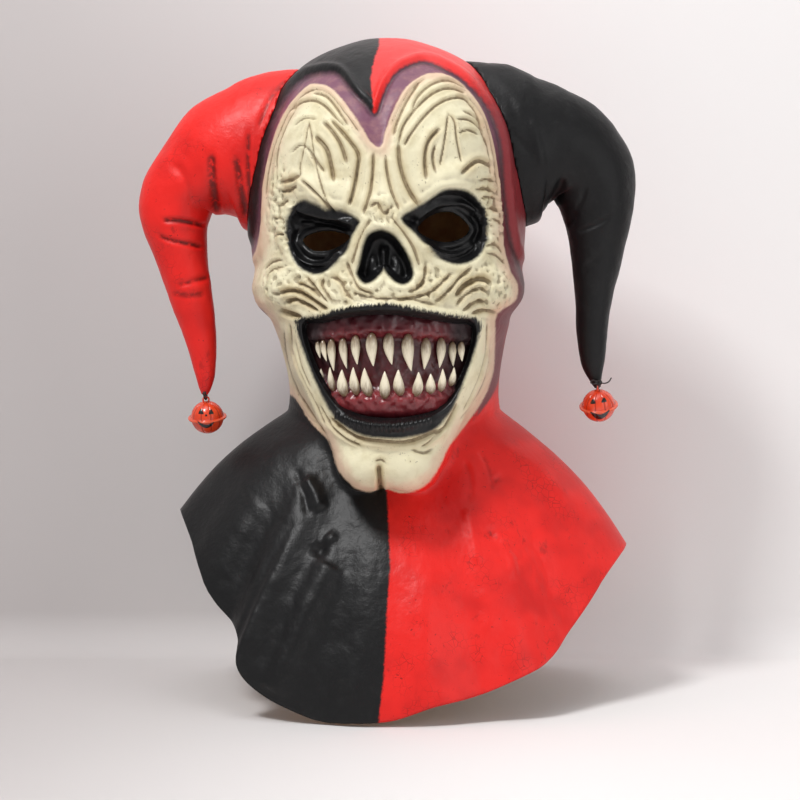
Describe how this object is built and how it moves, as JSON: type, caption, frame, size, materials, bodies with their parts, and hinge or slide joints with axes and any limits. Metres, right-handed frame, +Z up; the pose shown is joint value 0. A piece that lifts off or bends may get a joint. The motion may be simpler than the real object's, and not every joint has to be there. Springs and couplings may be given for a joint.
{
  "type": "jester mask",
  "caption": "Full-head latex jester mask with a skull-like grinning face, two drooping horns with round bells, and a flared neck bib.",
  "frame": {"origin": "inside of the cap where the wearer's crown seats", "axes": "+Z up, the face looks along -Y, +X to the wearer's left"},
  "size_m": [0.3184, 0.2223, 0.4207],
  "materials": {
    "painted_latex": "satin",
    "gum_latex": "gloss",
    "red_latex": "satin",
    "black_latex": "satin",
    "bell_enamel": "gloss",
    "tie_thread": "matte"
  },
  "bodies": {
    "root": {"mask_shell": "painted_latex", "gum_and_teeth": "gum_latex", "horn_red": "red_latex", "horn_black": "black_latex", "bell_red_horn": "bell_enamel", "bell_black_horn": "bell_enamel", "tie_red_horn": "tie_thread", "tie_black_horn": "tie_thread"}
  },
  "joints": []
}
